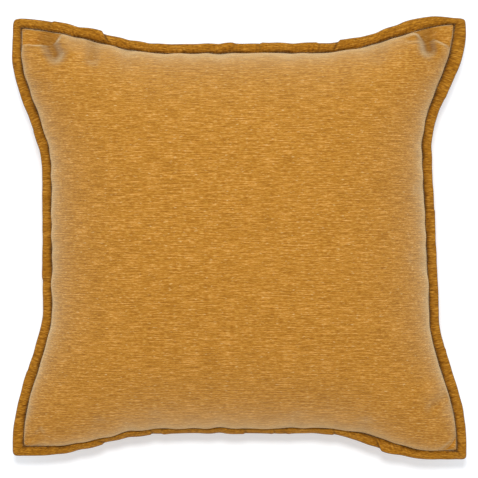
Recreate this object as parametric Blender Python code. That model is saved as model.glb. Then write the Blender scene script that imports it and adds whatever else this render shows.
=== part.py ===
"""A square throw pillow: a zipped cover with a stitched flange around a fibre-filled insert.

The pillow lies on its back with its front face up. The origin is under its middle, on the
surface that it lies on. +X is the front's right, +Y the front's top and +Z up, in metres.
"""
import math

import bpy
import bmesh
from mathutils import Matrix, Vector

# ---- Driving dimensions -------------------------------------------------------------------
TIP_WIDTH = 0.480  # filled pillow, corner tip to corner tip, along X
TIP_HEIGHT = 0.468  # the same along Y
FLANGE = 0.010  # width of the flat border outside the topstitching
PULL_LEFT = 0.031  # how far each side's middle is pulled in by the filling
PULL_RIGHT = 0.031
PULL_TOP = 0.028
PULL_BOTTOM = 0.025
PULL_FLAT = 0.35  # middle share of a side that is pulled in evenly
PULL_POWER = 1.35  # a little over 1, so that the sides run nearly straight to the corners
CROWN_POWER = 2.8  # roundness of the stuffed body from its middle to its seam
FRONT_CROWN = 0.088  # height of the front above the seam
BACK_CROWN = 0.077  # depth of the back below the seam
PRESSED = 1.12  # over 1: the middle of the back is pressed flat where the pillow lies
FABRIC = 0.0012
FLANGE_HALF = 0.0020  # half the flange: the cover's fabric over its turned-in seam allowance
LIP_RISE = 0.2  # share of the rise over which the body's skin leaves the flange's face
GROOVE = 0.0010  # width of the hollow that holds the seam thread along the flange's edge
GROOVE_LIFT = 0.00065
INSERT_FABRIC = 0.0007
GAP = 0.0003  # clearance between pieces that touch
THREAD = 0.0008
LABEL_ROWS = (-0.38, -0.29)  # where along the left seam the care label hangs
LABEL_START = -0.995  # its end at the seam, just clear of the topstitching
LABEL_OUTSIDE = 4 * GAP  # from the cover's outer surface to the label's two faces
LABEL_INSIDE = 2 * GAP
TAG_ROWS = (0.20, 0.36)  # where along the right seam the insert's tag is sewn
FILLING_GAP = 0.4  # share of the insert's right seam that is closed after filling
FILL_CLEARANCE = 2.7 * GAP  # between the fibre and the insert's seam thread
SLIDER_CLEARANCE = 0.00065  # between the slider's inner plate and the insert

# The closed zip runs straight along X across the back, near the bottom seam.
ZIP_FROM_SEAM = 0.033  # fabric between the bottom seam and the middle of the zip
ZIP_HALF = 0.155  # from the zip's middle to its stops
ZIP_STOP = 0.003  # length of a stop along the zip
SLIT = 0.004  # from the zip's middle line to the fabric's edges
SLIT_HALF = 0.161  # half the slit's length
SLIT_CLOSED = 0.003  # past the slit's end, where the back's two panels are sewn together
TAPE_HALF = 0.167  # half a tape's length
TAPE_NEAR = 0.0024  # from the middle line to a tape's near and far edges
TAPE_FAR = 0.014
TAPE_THICK = 0.0005
TOOTH_TIP = 0.0004  # from the middle line to the tips, roots and backs of the teeth
TOOTH_ROOT = 0.0012
TOOTH_BACK = 0.0021
TOOTH_THICK = 0.0022
TOOTH_PITCH = 0.0050
TOOTH_SHARE = 0.52  # of the pitch that a tooth takes up
STITCH_LINE = 0.007  # from the middle line to the rows of stitching along the zip
STITCH_SHORT = 0.002  # how far those rows stop short of the slit's ends
TACK_HALF = 0.0015  # half the width of the bar of stitches across each end
COLUMN_CLEARANCE = 0.05  # least spacing in u between the grid's columns and the slit's ends
ROW_CLEARANCE = 0.02  # least spacing in v between the grid's rows and the zip's tape
STRAIGHT = 0.80  # share of the width over which the back runs straight along the zip
BAND_SEAM_V = -0.985  # where that straight stretch is complete, from the seam inwards
BAND_BODY_V = -0.90

# The slider runs on the teeth, and its pull hangs from a bridge on top of it.
SLIDER_HALF = 0.0045
SLIDER_WIDE = 0.0035  # half its width
SLIDER_INSIDE = 0.0014  # from the tape's middle to the slider's two plates
SLIDER_OUTSIDE = 0.0022
SLIDER_LIP = 0.0006  # from the tape's middle to the plates' turned-in edges
LIP_THICK = 0.0006
NECK_LENGTH = 0.0017
NECK_END = 0.0003  # from the slider's end to its neck
OVERLAP = 0.0003  # how far the slider's parts run into each other
BRIDGE_HALF = 0.0036
BRIDGE_THICK = 0.0008
BRIDGE_HALF_WIDTH = 0.0005
BRIDGE_SHOULDER = 0.8 * BRIDGE_THICK  # cut off the arch's two corners
BRIDGE_TOP = 0.0045
PULL_PIVOT = 0.0030  # height of the pull's hinge above the tape's middle
PULL_THICK = 0.0009
PULL_WINDOW = 0.0052  # from the hinge to the far end of the pull's eye
PULL_LENGTH = 0.0220
PULL_NECK = 0.0016  # half the pull's width at its eye and at its round end
PULL_WIDE = 0.0032
PULL_TAPER = 0.0025  # length over which it widens
PULL_ARC_STEPS = 6
EYE_HALF = 0.0009

# Distance of each layer inside the cover's outer surface.
COVER_INSIDE = FABRIC
TAPE_OUTSIDE = COVER_INSIDE + GAP
TAPE_INSIDE = TAPE_OUTSIDE + TAPE_THICK
TAPE_MIDDLE = (TAPE_OUTSIDE + TAPE_INSIDE) / 2
INSERT_OUTSIDE = TAPE_MIDDLE + SLIDER_OUTSIDE + SLIDER_CLEARANCE
INSERT_INSIDE = INSERT_OUTSIDE + INSERT_FABRIC
FILL_OUTSIDE = INSERT_INSIDE + THREAD + FILL_CLEARANCE

SEAM_Z = BACK_CROWN
CORNER_X = TIP_WIDTH / 2 - FLANGE
CORNER_Y = TIP_HEIGHT / 2 - FLANGE
STEPS = 8  # grid steps from the middle of a panel to its seam
FRONT = 1
BACK = -1

for leftover in list(bpy.data.objects):
    bpy.data.objects.remove(leftover, do_unlink=True)


def material(name, colour, roughness, metallic=0.0):
    """A Principled material of one colour."""
    mat = bpy.data.materials.new(name)
    mat.use_nodes = True
    shader = mat.node_tree.nodes["Principled BSDF"]
    shader.inputs["Base Color"].default_value = (*colour, 1.0)
    shader.inputs["Roughness"].default_value = roughness
    shader.inputs["Metallic"].default_value = metallic
    return mat


def add_object(name, bm, mat):
    """Keep a bmesh as a named object with its faces pointing out."""
    bmesh.ops.recalc_face_normals(bm, faces=bm.faces)
    if bm.calc_volume(signed=True) < 0:
        bmesh.ops.reverse_faces(bm, faces=bm.faces)
    mesh = bpy.data.meshes.new(name)
    bm.to_mesh(mesh)
    bm.free()
    mesh.materials.append(mat)
    obj = bpy.data.objects.new(name, mesh)
    bpy.context.scene.collection.objects.link(obj)
    return obj


# ---- The stuffed body's surface -----------------------------------------------------------
def smooth(value):
    """Ease from 0 to 1."""
    value = min(max(value, 0.0), 1.0)
    return value * value * (3 - 2 * value)


def pulled_in(t, flat):
    """How far a side is pulled in at t from -1 to 1: 1 over its middle, 0 at its corners."""
    beyond = max(abs(t) - flat, 0.0) / (1 - flat)
    return 1 - beyond ** PULL_POWER


def crown(t, flat):
    """Rise of a panel across its width: 1 over its middle, falling steeply to 0 at the seam."""
    beyond = max(abs(t) - flat, 0.0) / (1 - flat)
    return math.sqrt(max(1 - beyond ** CROWN_POWER, 0.0))


def straightness(v):
    """1 along the zip, fading to 0 at the bottom seam and towards the pillow's middle."""
    from_seam = smooth((1 + v) / (1 + BAND_SEAM_V))
    from_middle = smooth(v / BAND_BODY_V)
    return min(from_seam, from_middle)


def body_point(u, v, inset, side):
    """Plan position and rise, 0 to 1, of the body at u and v from -1 to 1 between its seams."""
    straight = straightness(v) if side == BACK else 0.0
    pull_x = PULL_RIGHT if u > 0 else PULL_LEFT
    pull_y = PULL_TOP if v > 0 else PULL_BOTTOM
    pull_at_u = pulled_in(u, PULL_FLAT)
    pull_at_u += (pulled_in(u, STRAIGHT) - pull_at_u) * straight
    x = u * (CORNER_X - inset - pull_x * pulled_in(v, PULL_FLAT))
    y = v * (CORNER_Y - inset - pull_y * pull_at_u)
    rise = crown(u, STRAIGHT * straight) * crown(v, 0.0)
    if side == BACK:
        rise = min(rise * PRESSED, 1.0)
    return x, y, rise


def surface(u, v, inset, side):
    """Point of a layer. Past -1 or 1, u and v are on the flange and count metres from the seam."""
    u_body = min(max(u, -1.0), 1.0)
    v_body = min(max(v, -1.0), 1.0)
    on_flange = u != u_body or v != v_body
    x, y, rise = body_point(u_body, v_body, 0.0 if on_flange else inset, side)
    top = (FRONT_CROWN if side == FRONT else BACK_CROWN) - inset
    height = GAP / 2 + (top - GAP / 2) * rise
    if inset <= 0:
        height += (FLANGE_HALF - inset - GAP / 2) * max(1 - rise / LIP_RISE, 0.0)
    elif max(abs(u), abs(v)) >= 1 + FLANGE:
        height += GROOVE_LIFT
    z = SEAM_Z + side * height
    return Vector((x + u - u_body, y + v - v_body, z))


def back_rows(distances):
    """v of the points on the back's middle line at these lengths of fabric from the bottom seam."""
    found = []
    steps = 4000
    last = surface(0.0, -1.0, 0.0, BACK)
    length = 0.0
    for step in range(1, steps):
        v = -1 + step / steps
        point = surface(0.0, v, 0.0, BACK)
        length += (point - last).length
        last = point
        while len(found) < len(distances) and length >= distances[len(found)]:
            found.append(v)
    return found


def even_rows():
    """Positions from -1 to 1, closer together near the seams, where the body is steepest."""
    return [math.sin(math.pi / 2 * step / STEPS) for step in range(-STEPS, STEPS + 1)]


def with_flange(positions):
    """Put the flange's rows outside the first and last positions."""
    hollow = FLANGE - GROOVE
    return [-1 - FLANGE, -1 - hollow] + positions + [1 + hollow, 1 + FLANGE]


# Lengths of fabric from the bottom seam to the lines that run along the zip.
MIDWAY = (TAPE_FAR + SLIT) / 2
LINES = [ZIP_FROM_SEAM + offset for offset in (-TAPE_FAR, -MIDWAY, -STITCH_LINE, -SLIT, -TAPE_NEAR,
                                               0.0,
                                               TAPE_NEAR, SLIT, STITCH_LINE, MIDWAY, TAPE_FAR)]
(V_LOW_FAR, V_LOW_MID, V_LOW_STITCH, V_LOW_SLIT, V_LOW_NEAR, V_ZIP,
 V_UP_NEAR, V_UP_SLIT, V_UP_STITCH, V_UP_MID, V_UP_FAR) = back_rows(LINES)
V_BELOW = back_rows([(ZIP_FROM_SEAM - TAPE_FAR) / 2])[0]


def u_at(x, v):
    """u of the point that lies x from the middle, in row v of the body."""
    return x / (CORNER_X - PULL_RIGHT * pulled_in(v, PULL_FLAT))


SLIT_END = u_at(SLIT_HALF, V_ZIP)
SLIT_PAST = u_at(SLIT_HALF + SLIT_CLOSED, V_ZIP)


def zip_columns():
    """The even columns, with the two ends of the slit put in on each side."""
    ends = [SLIT_END, SLIT_PAST]
    kept = [u for u in even_rows() if abs(abs(u) - SLIT_END) > COLUMN_CLEARANCE]
    return sorted(kept + ends + [-end for end in ends])


def slit_edge(v_slit):
    """Row along one edge of the slit, closing to the middle line past the slit's ends."""
    closed = V_ZIP + (v_slit - V_ZIP) * GAP / 2 / SLIT
    return lambda u: closed if abs(u) > (SLIT_END + SLIT_PAST) / 2 else v_slit


# ---- Solids -------------------------------------------------------------------------------
def add_sheet(bm, grid):
    """Two triangles to a cell, with the dividing edge running out towards the corners."""
    middle_u = (len(grid) - 1) / 2
    for i in range(len(grid) - 1):
        for j in range(len(grid[i]) - 1):
            low, right, far, up = grid[i][j], grid[i + 1][j], grid[i + 1][j + 1], grid[i][j + 1]
            outwards = (i + 0.5 - middle_u) * (low.co.y + far.co.y) > 0
            if outwards:
                bm.faces.new((low, right, far))
                bm.faces.new((low, far, up))
            else:
                bm.faces.new((low, right, up))
                bm.faces.new((right, far, up))


def layer_slab(name, mat, columns, rows, outer, inner, side):
    """Closed slab between two layers over a grid. A row may be a function of the column."""
    bm = bmesh.new()
    sheets = []
    for inset in (outer, inner):
        sheet = []
        for u in columns:
            row_v = [row(u) if callable(row) else row for row in rows]
            sheet.append([bm.verts.new(surface(u, v, inset, side)) for v in row_v])
        sheets.append(sheet)
    top, bottom = sheets
    last_u = len(columns) - 1
    last_v = len(rows) - 1
    for sheet in sheets:
        add_sheet(bm, sheet)
    for i in range(last_u):
        for j in (0, last_v):
            bm.faces.new((top[i][j], top[i + 1][j], bottom[i + 1][j], bottom[i][j]))
    for j in range(last_v):
        for i in (0, last_u):
            bm.faces.new((top[i][j], top[i][j + 1], bottom[i][j + 1], bottom[i][j]))
    return add_object(name, bm, mat)


def both_halves(name, mat, inset):
    """One solid body: the front and back of a layer, joined around the seam."""
    bm = bmesh.new()
    rows = even_rows()
    last = len(rows) - 1
    halves = []
    for side in (FRONT, BACK):
        grid = [[bm.verts.new(surface(u, v, inset, side)) for v in rows] for u in rows]
        halves.append(grid)
        add_sheet(bm, grid)
    front, back = halves
    for i in range(last):
        for edge in (0, last):
            bm.faces.new((front[i][edge], front[i + 1][edge], back[i + 1][edge], back[i][edge]))
            bm.faces.new((front[edge][i], front[edge][i + 1], back[edge][i + 1], back[edge][i]))
    return add_object(name, bm, mat)


def around(reach):
    """(u, v) once round the pillow, reach being 1 on the seam or 1 plus metres on the flange."""
    between = even_rows() if reach > 1 else even_rows()[1:-1]
    loop = [(-reach, -reach)] + [(t, -reach) for t in between]
    loop += [(reach, -reach)] + [(reach, t) for t in between]
    loop += [(reach, reach)] + [(-t, reach) for t in between]
    loop += [(-reach, reach)] + [(-reach, -t) for t in between]
    return loop


def thread(name, mat, path, closed=True):
    """Square-sectioned thread along a path, as a closed ring or with two flat ends."""
    bm = bmesh.new()
    count = len(path)
    radius = THREAD / 2
    rings = []
    for index, point in enumerate(path):
        before = path[index - 1] if closed or index > 0 else point
        after = path[(index + 1) % count] if closed or index < count - 1 else point
        across = (after - before).cross(Vector((0, 0, 1))).normalized() * radius
        up = Vector((0, 0, radius))
        rings.append([bm.verts.new(point + offset) for offset in (across, up, -across, -up)])
    for index in range(count if closed else count - 1):
        ring = rings[index]
        following = rings[(index + 1) % count]
        for corner in range(4):
            right = (corner + 1) % 4
            bm.faces.new((ring[corner], ring[right], following[right], following[corner]))
    if not closed:
        bm.faces.new(rings[0])
        bm.faces.new(rings[-1])
    return add_object(name, bm, mat)


def prism(name, mat, outline, plane, start, end):
    """Outline extruded from start to end along the axis that its plane, 'xy', 'xz' or 'yz', lacks."""
    axes = ["xyz".index(letter) for letter in plane]
    along = 3 - sum(axes)
    bm = bmesh.new()
    caps = []
    for level in (start, end):
        cap = []
        for point in outline:
            place = [0.0, 0.0, 0.0]
            place[axes[0]], place[axes[1]] = point
            place[along] = level
            cap.append(bm.verts.new(place))
        bm.faces.new(cap)
        caps.append(cap)
    for index in range(len(outline)):
        right = (index + 1) % len(outline)
        bm.faces.new((caps[0][index], caps[0][right], caps[1][right], caps[1][index]))
    return add_object(name, bm, mat)


def rectangle(low_a, high_a, low_b, high_b):
    """Corners of a rectangle, in order."""
    return [(low_a, low_b), (high_a, low_b), (high_a, high_b), (low_a, high_b)]


def combine(obj, other, operation):
    """Join another solid to this one, or cut it away, and leave the other out of the model."""
    modifier = obj.modifiers.new(operation.lower(), "BOOLEAN")
    modifier.operation = operation
    modifier.object = other
    modifier.solver = "EXACT"
    other.parent = obj
    other.hide_render = True
    other.display_type = "WIRE"


# ---- Cover --------------------------------------------------------------------------------
def build_cover():
    """Front panel, the two back panels that the zip joins, and the threads of the flange."""
    chenille = material("cover_chenille", (0.55, 0.28, 0.05), 0.9)
    cotton = material("cover_thread", (0.45, 0.22, 0.04), 0.8)
    satin = material("label_satin", (0.85, 0.83, 0.78), 0.5)
    columns = with_flange(even_rows())
    layer_slab("cover_front_panel", chenille, columns, columns, 0.0, COVER_INSIDE, FRONT)
    columns = with_flange(zip_columns())
    above = [v for v in even_rows() if v > V_UP_FAR + ROW_CLEARANCE]
    rows = with_flange([-1.0] + above)[3:]
    upper = [slit_edge(V_UP_SLIT), V_UP_MID, V_UP_FAR] + rows
    layer_slab("cover_back_panel_upper", chenille, columns, upper, 0.0, COVER_INSIDE, BACK)
    lower = with_flange([-1.0])[:3] + [V_BELOW, V_LOW_FAR, V_LOW_MID, slit_edge(V_LOW_SLIT)]
    layer_slab("cover_back_panel_lower", chenille, columns, lower, 0.0, COVER_INSIDE, BACK)

    edge = [surface(u, v, 0.0, FRONT) for u, v in around(1 + FLANGE - GAP / 3)]
    for point in edge:
        point.z = SEAM_Z
    thread("flange_edge_seam_thread", cotton, edge)
    for side, name in ((FRONT, "topstitch_needle_thread"), (BACK, "topstitch_bobbin_thread")):
        outside = THREAD / 2 + GAP
        path = [surface(u, v, -outside, side) for u, v in around(1 + outside)]
        thread(name, cotton, path)

    columns = [LABEL_START] + even_rows()[1:3]
    layer_slab("care_label", satin, columns, LABEL_ROWS, -LABEL_OUTSIDE, -LABEL_INSIDE, BACK)


# ---- Zip ----------------------------------------------------------------------------------
def zip_frame():
    """Empty on the zip's middle: x along the zip, y towards the seam, z out of the fabric."""
    middle = surface(0.0, V_ZIP, TAPE_MIDDLE, BACK)
    low = surface(0.0, V_LOW_SLIT, TAPE_MIDDLE, BACK)
    high = surface(0.0, V_UP_SLIT, TAPE_MIDDLE, BACK)
    along = Vector((1, 0, 0))
    across = (low - high).normalized()
    out = along.cross(across)
    frame = bpy.data.objects.new("zip_frame", None)
    frame.matrix_world = Matrix.Translation(middle) @ Matrix((along, across, out)).transposed().to_4x4()
    bpy.context.scene.collection.objects.link(frame)
    return frame


def tooth_row(name, mat, sign, offset, frame):
    """Comb of teeth on one side of the middle line."""
    outline = [(ZIP_HALF - GAP, sign * TOOTH_BACK), (-ZIP_HALF + GAP, sign * TOOTH_BACK)]
    half_tooth = TOOTH_PITCH * TOOTH_SHARE / 2
    centre = -ZIP_HALF + TOOTH_PITCH * (0.5 + offset)
    outline.append((-ZIP_HALF + GAP, sign * TOOTH_ROOT))
    while centre + half_tooth < ZIP_HALF - GAP:
        outline.append((centre - half_tooth, sign * TOOTH_ROOT))
        outline.append((centre - half_tooth, sign * TOOTH_TIP))
        outline.append((centre + half_tooth, sign * TOOTH_TIP))
        outline.append((centre + half_tooth, sign * TOOTH_ROOT))
        centre += TOOTH_PITCH
    outline.append((ZIP_HALF - GAP, sign * TOOTH_ROOT))
    row = prism(name, mat, outline, "xy", -TOOTH_THICK / 2, TOOTH_THICK / 2)
    row.parent = frame


def build_zip():
    """Tapes, teeth, stops, slider and pull, and the stitching that holds the tapes."""
    woven = material("zip_tape", (0.50, 0.27, 0.06), 0.85)
    nylon = material("zip_nylon", (0.52, 0.28, 0.06), 0.45)
    brass = material("zip_brass", (0.62, 0.45, 0.20), 0.35, 1.0)
    cotton = material("zip_thread", (0.45, 0.22, 0.04), 0.8)
    frame = zip_frame()

    end = u_at(TAPE_HALF, V_ZIP)
    columns = [-end, end]
    rows = [V_UP_NEAR, V_UP_SLIT, V_UP_MID, V_UP_FAR]
    layer_slab("zip_tape_upper", woven, columns, rows, TAPE_OUTSIDE, TAPE_INSIDE, BACK)
    rows = [V_LOW_FAR, V_LOW_MID, V_LOW_SLIT, V_LOW_NEAR]
    layer_slab("zip_tape_lower", woven, columns, rows, TAPE_OUTSIDE, TAPE_INSIDE, BACK)
    tooth_row("zip_teeth_upper", nylon, -1, 0.0, frame)
    tooth_row("zip_teeth_lower", nylon, 1, 0.5, frame)

    stop_levels = (-TOOTH_THICK / 2, TOOTH_THICK / 2)
    stop_end = ZIP_HALF + ZIP_STOP
    for name, sign in (("zip_top_stop_upper", -1), ("zip_top_stop_lower", 1)):
        outline = rectangle(ZIP_HALF, stop_end, sign * TOOTH_TIP, sign * TOOTH_BACK)
        prism(name, brass, outline, "xy", *stop_levels).parent = frame
    outline = rectangle(-stop_end, -ZIP_HALF, -TOOTH_BACK, TOOTH_BACK)
    prism("zip_bottom_stop", brass, outline, "xy", *stop_levels).parent = frame

    for name, v in (("zip_stitching_upper", V_UP_STITCH), ("zip_stitching_lower", V_LOW_STITCH)):
        u_end = u_at(SLIT_HALF - STITCH_SHORT, V_ZIP)
        path = [surface(u, v, -THREAD / 2 - GAP, BACK) for u in (-u_end, u_end)]
        thread(name, cotton, path, closed=False)
    for name, sign in (("zip_end_tack_left", -1), ("zip_end_tack_right", 1)):
        near = sign * (SLIT_HALF - TACK_HALF)
        far = sign * (SLIT_HALF + TACK_HALF)
        outline = rectangle(near, far, -STITCH_LINE + THREAD, STITCH_LINE - THREAD)
        bottom = TAPE_MIDDLE + GAP
        prism(name, cotton, outline, "xy", bottom, bottom + THREAD).parent = frame
    build_slider(frame, brass)


def plate_outline(sign):
    """Section across the zip of one of the slider's plates, with its two lips turned in."""
    wide = SLIDER_WIDE
    lip = wide - LIP_THICK
    points = [(-wide, SLIDER_LIP), (-lip, SLIDER_LIP), (-lip, SLIDER_INSIDE), (lip, SLIDER_INSIDE),
              (lip, SLIDER_LIP), (wide, SLIDER_LIP), (wide, SLIDER_OUTSIDE), (-wide, SLIDER_OUTSIDE)]
    return [(across, sign * out) for across, out in points]


def build_slider(frame, brass):
    """Slider at the closed end: two plates on a neck that runs between the teeth, and its pull."""
    slider = prism("zip_slider", brass, plate_outline(1), "yz", -SLIDER_HALF, SLIDER_HALF)
    slider.parent = frame
    slider.location.x = ZIP_HALF - SLIDER_HALF - GAP
    under = prism("slider_under_plate", brass, plate_outline(-1), "yz", -SLIDER_HALF, SLIDER_HALF)
    combine(slider, under, "UNION")
    reach = SLIDER_INSIDE + OVERLAP
    neck_near = SLIDER_HALF - NECK_END
    neck_outline = rectangle(neck_near - NECK_LENGTH, neck_near, -reach, reach)
    neck = prism("slider_neck", brass, neck_outline, "xz", -TOOTH_TIP / 2, TOOTH_TIP / 2)
    combine(slider, neck, "UNION")
    foot = SLIDER_OUTSIDE - OVERLAP
    inner = BRIDGE_HALF - BRIDGE_THICK
    under_top = BRIDGE_TOP - BRIDGE_THICK
    shoulder = BRIDGE_SHOULDER
    arch = [(-BRIDGE_HALF, foot), (-inner, foot), (-inner, under_top), (inner, under_top),
            (inner, foot), (BRIDGE_HALF, foot), (BRIDGE_HALF, BRIDGE_TOP - shoulder),
            (BRIDGE_HALF - shoulder, BRIDGE_TOP), (shoulder - BRIDGE_HALF, BRIDGE_TOP),
            (-BRIDGE_HALF, BRIDGE_TOP - shoulder)]
    bridge = prism("slider_bridge", brass, arch, "xz", -BRIDGE_HALF_WIDTH, BRIDGE_HALF_WIDTH)
    combine(slider, bridge, "UNION")

    half = PULL_THICK / 2
    tip = PULL_LENGTH - PULL_WIDE
    widened = PULL_WINDOW + PULL_TAPER
    outline = [(-PULL_NECK, -half), (PULL_NECK, -half), (PULL_NECK, PULL_WINDOW),
               (PULL_WIDE, widened)]
    for step in range(PULL_ARC_STEPS + 1):
        angle = math.pi * step / PULL_ARC_STEPS
        outline.append((PULL_WIDE * math.cos(angle), tip + PULL_WIDE * math.sin(angle)))
    outline += [(-PULL_WIDE, widened), (-PULL_NECK, PULL_WINDOW)]
    pull = prism("zip_pull_tab", brass, outline, "yz", -half, half)
    pull.parent = frame
    pull.location = (slider.location.x, 0.0, PULL_PIVOT)
    eye_outline = rectangle(-EYE_HALF, EYE_HALF, half, PULL_WINDOW)
    eye = prism("pull_eye", brass, eye_outline, "yz", -2 * half, 2 * half)
    combine(pull, eye, "DIFFERENCE")


# ---- Insert -------------------------------------------------------------------------------
def build_insert():
    """Sewn bag of loose fibre, with its seam, the closed filling gap and its tag."""
    shell = material("insert_shell", (0.82, 0.82, 0.80), 0.8)
    fibre = material("insert_fibre", (0.90, 0.90, 0.90), 1.0)
    polyester = material("insert_thread", (0.80, 0.80, 0.78), 0.7)
    tag = material("tag_paper", (0.88, 0.88, 0.86), 0.6)
    rows = even_rows()
    layer_slab("insert_front_panel", shell, rows, rows, INSERT_OUTSIDE, INSERT_INSIDE, FRONT)
    layer_slab("insert_back_panel", shell, rows, rows, INSERT_OUTSIDE, INSERT_INSIDE, BACK)
    both_halves("insert_fill", fibre, FILL_OUTSIDE)

    def ring(loop, inset):
        path = [surface(u, v, inset, FRONT) for u, v in loop]
        for point in path:
            point.z = SEAM_Z
        return path

    thread("insert_seam_thread", polyester, ring(around(1.0), INSERT_INSIDE + GAP + THREAD / 2))
    filling_gap = [(1.0, v) for v in rows if abs(v) < FILLING_GAP]
    path = ring(filling_gap, INSERT_OUTSIDE - GAP - THREAD / 2)
    thread("insert_closing_thread", polyester, path, closed=False)
    middle = (COVER_INSIDE + INSERT_OUTSIDE) / 2
    layer_slab("insert_tag", tag, rows[-3:], TAG_ROWS, middle - GAP, middle + GAP, BACK)


build_cover()
build_zip()
build_insert()
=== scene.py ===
import math

import bpy
import numpy as np
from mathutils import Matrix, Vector


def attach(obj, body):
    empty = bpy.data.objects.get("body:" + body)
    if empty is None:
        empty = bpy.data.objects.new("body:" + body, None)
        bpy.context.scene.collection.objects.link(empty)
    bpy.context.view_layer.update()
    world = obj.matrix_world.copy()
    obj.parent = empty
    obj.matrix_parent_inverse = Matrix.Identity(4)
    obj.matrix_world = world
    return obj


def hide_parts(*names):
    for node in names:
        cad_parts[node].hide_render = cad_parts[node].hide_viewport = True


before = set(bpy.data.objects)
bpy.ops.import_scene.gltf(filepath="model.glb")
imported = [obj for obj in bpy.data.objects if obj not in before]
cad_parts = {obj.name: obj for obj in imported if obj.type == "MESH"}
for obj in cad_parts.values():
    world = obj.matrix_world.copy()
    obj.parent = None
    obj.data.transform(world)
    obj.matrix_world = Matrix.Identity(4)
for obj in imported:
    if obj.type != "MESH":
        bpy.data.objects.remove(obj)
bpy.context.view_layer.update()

# A mustard chenille throw pillow, lying on its back, seen from straight above.
# All lengths are in metres. u and v run from -1 to 1 between a panel's seams, along X and Y.
FRONT, BACK = 1, -1

# ---- The CAD model's dimensions, repeated from part.py ----
SEAM_Z = 0.077  # height of the seam between front and back
FRONT_CROWN = 0.088  # from the seam to the front's middle
BACK_CROWN = 0.077
PRESSED = 1.12  # how many times BACK_CROWN the back would bulge if it weren't pressed flat
CROWN_POWER = 2.8
CORNER_X, CORNER_Y = 0.230, 0.224  # corners of the CAD seam
PULL_SIDE, PULL_TOP, PULL_BOTTOM = 0.031, 0.028, 0.025  # how far its sides are pulled in
PULL_FLAT, PULL_POWER = 0.35, 1.35
STRAIGHT = 0.80  # share of the zip's band that is straight
BAND_SEAM_V, BAND_BODY_V = -0.985, -0.90  # the straight band's two edges
ZIP_FROM_SEAM = 0.033
ZIP_HALF = 0.155
SLIT, SLIT_HALF = 0.004, 0.161
ZIP_TOWARDS_SEAM = np.array([0.0, -0.573919, 0.818912])
ZIP_OUT = np.array([0.0, -0.818912, -0.573919])
TAPE_NEAR, TAPE_FAR, TAPE_HALF = 0.0024, 0.014, 0.167
TAPE_DEPTH = 0.00175
STITCH_LINE = 0.007  # from the zip's middle line
INSERT_DEPTH = 0.0046
FILL_DEPTH = 0.0069
SLACK = 0.003  # extra room for the insert
LABEL_ROWS = (-0.38, -0.29)
TAG_ROWS = (0.20, 0.36)

# ---- The visible pillow ----
FLAT_HALF = 0.244  # half of a panel between its seams, cut flat
FLANGE = 0.0105  # width
TUCK = 0.0006  # how far the flange's skins pass into each other at the seam
EDGE_START = 0.0070  # where the flange starts to round over to its edge
STITCH_PITCH = 0.0037
POCKET_HEIGHT = 0.0035  # of a corner's empty pocket
LOWEST = 0.0018  # a crease never presses the front lower than this above the seam
GROUND = 0.0002  # nor does the back reach lower than this
LEAN_HEIGHT = 0.042  # how much of the wall's height leans out over the seam
WALL_START = 0.86  # u or v where the back starts to follow the visible seam
SIM_CELLS = 72  # cloth cells across a panel
SIM_FRAMES = 22
HELD_FRONT, HELD_BACK = 0.06, 0.25  # how firmly the filling holds the cloth; the seam is at 1
CLOTH = dict(quality=6, mass=0.3, tension_stiffness=25, compression_stiffness=18,
             shear_stiffness=3, bending_stiffness=0.8, tension_damping=5,
             compression_damping=5, shear_damping=5, bending_damping=0.5, air_damping=2,
             pin_stiffness=6, use_pressure=True, uniform_pressure_force=2.0)

# Corners of the seam, and how far each side's middle is pulled in. "low" and "high" say where the
# pull starts and is complete towards the side's two ends, and tilt makes one half deeper.
SEAM_CORNERS = {(-1, 1): (-0.2315, 0.2225), (1, 1): (0.2285, 0.2270),
                (-1, -1): (-0.2285, -0.2215), (1, -1): (0.2312, -0.2265)}
SIDES = {"left": dict(depth=0.0315, tilt=0.0, low=(0.96, 0.32), high=(0.90, 0.33)),
         "right": dict(depth=0.0313, tilt=0.30, low=(0.945, 0.40), high=(1.00, 0.40)),
         "top": dict(depth=0.0290, tilt=0.03, low=(1.03, 0.33), high=(1.03, 0.40)),
         "bottom": dict(depth=0.0222, tilt=0.12, low=(0.92, 0.35), high=(0.90, 0.42))}

# How far the wall leans out over the left, right, bottom and top seams.
FRONT_LEAN = (0.0010, 0.0, 0.0016, 0.0002)
BACK_LEAN = (0.0030, 0.0030, 0.0, 0.0030)

# Where the filling doesn't reach: how far each corner's empty pocket runs along the seams in X
# and in Y, how softly it passes into the stuffed body, and how square its outline is.
POCKETS = {(-1, 1): (0.0450, 0.0195, 0.16, 4.0), (1, 1): (0.0640, 0.0270, 0.24, 1.25),
           (1, -1): (0.0150, 0.0165, 0.30, 1.0), (-1, -1): (0.0085, 0.0090, 0.40, 1.2)}

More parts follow.
